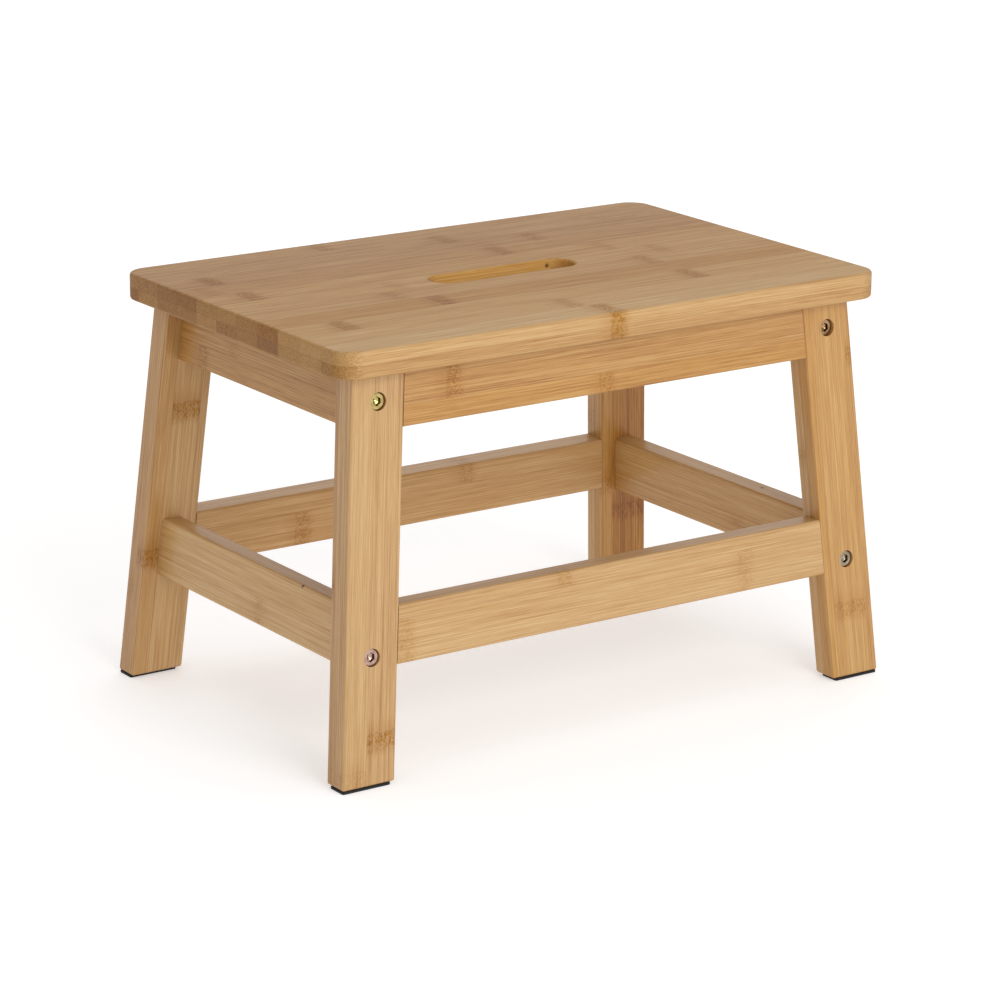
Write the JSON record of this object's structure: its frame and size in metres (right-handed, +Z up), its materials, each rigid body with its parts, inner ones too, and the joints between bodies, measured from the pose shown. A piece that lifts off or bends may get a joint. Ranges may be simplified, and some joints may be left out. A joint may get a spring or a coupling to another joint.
{
  "type": "step stool",
  "caption": "Low rectangular bamboo step stool: flat rounded top with a hand slot, splayed legs, aprons under the top and lower stretchers on every side.",
  "frame": {"origin": "on the floor, under the middle of the top", "axes": "+X along the length of the top, +Y towards the back, +Z up out of the step face"},
  "size_m": [0.4088, 0.2688, 0.265],
  "materials": {
    "top_bamboo": "clear satin lacquer over laminated bamboo strips",
    "leg_bamboo": "clear satin lacquer over laminated bamboo",
    "rail_bamboo": "clear satin lacquer over laminated bamboo",
    "dowel_beech": "bare fluted beech",
    "yellow_zinc_screw": "yellow passivated zinc plating on steel",
    "yellow_zinc_wood_screw": "yellow passivated zinc plating on steel",
    "pad_foam": "matt black closed-cell foam"
  },
  "bodies": {
    "root": {"top_board": "top_bamboo", "leg_front_left": "leg_bamboo", "leg_front_right": "leg_bamboo", "leg_back_left": "leg_bamboo", "leg_back_right": "leg_bamboo", "apron_front": "rail_bamboo", "apron_back": "rail_bamboo", "apron_left": "rail_bamboo", "apron_right": "rail_bamboo", "stretcher_front": "rail_bamboo", "stretcher_back": "rail_bamboo", "stretcher_left": "rail_bamboo", "stretcher_right": "rail_bamboo", "foot_pad_front_left": "pad_foam", "foot_pad_front_right": "pad_foam", "foot_pad_back_left": "pad_foam", "foot_pad_back_right": "pad_foam", "leg_screw_front_left_upper": "yellow_zinc_screw", "leg_screw_front_left_lower": "yellow_zinc_screw", "leg_screw_front_right_upper": "yellow_zinc_screw", "leg_screw_front_right_lower": "yellow_zinc_screw", "leg_screw_back_left_upper": "yellow_zinc_screw", "leg_screw_back_left_lower": "yellow_zinc_screw", "leg_screw_back_right_upper": "yellow_zinc_screw", "leg_screw_back_right_lower": "yellow_zinc_screw", "dowel_apron_front_left_high": "dowel_beech", "dowel_apron_front_left_low": "dowel_beech", "dowel_apron_front_right_high": "dowel_beech", "dowel_apron_front_right_low": "dowel_beech", "dowel_apron_back_left_high": "dowel_beech", "dowel_apron_back_left_low": "dowel_beech", "dowel_apron_back_right_high": "dowel_beech", "dowel_apron_back_right_low": "dowel_beech", "dowel_stretcher_front_left_high": "dowel_beech", "dowel_stretcher_front_left_low": "dowel_beech", "dowel_stretcher_front_right_high": "dowel_beech", "dowel_stretcher_front_right_low": "dowel_beech", "dowel_stretcher_back_left_high": "dowel_beech", "dowel_stretcher_back_left_low": "dowel_beech", "dowel_stretcher_back_right_high": "dowel_beech", "dowel_stretcher_back_right_low": "dowel_beech", "dowel_side_stretcher_front_left": "dowel_beech", "dowel_side_stretcher_front_right": "dowel_beech", "dowel_side_stretcher_back_left": "dowel_beech", "dowel_side_stretcher_back_right": "dowel_beech", "top_screw_front_left": "yellow_zinc_wood_screw", "top_screw_front_right": "yellow_zinc_wood_screw", "top_screw_back_left": "yellow_zinc_wood_screw", "top_screw_back_right": "yellow_zinc_wood_screw", "top_screw_side_left": "yellow_zinc_wood_screw", "top_screw_side_right": "yellow_zinc_wood_screw"}
  },
  "joints": []
}
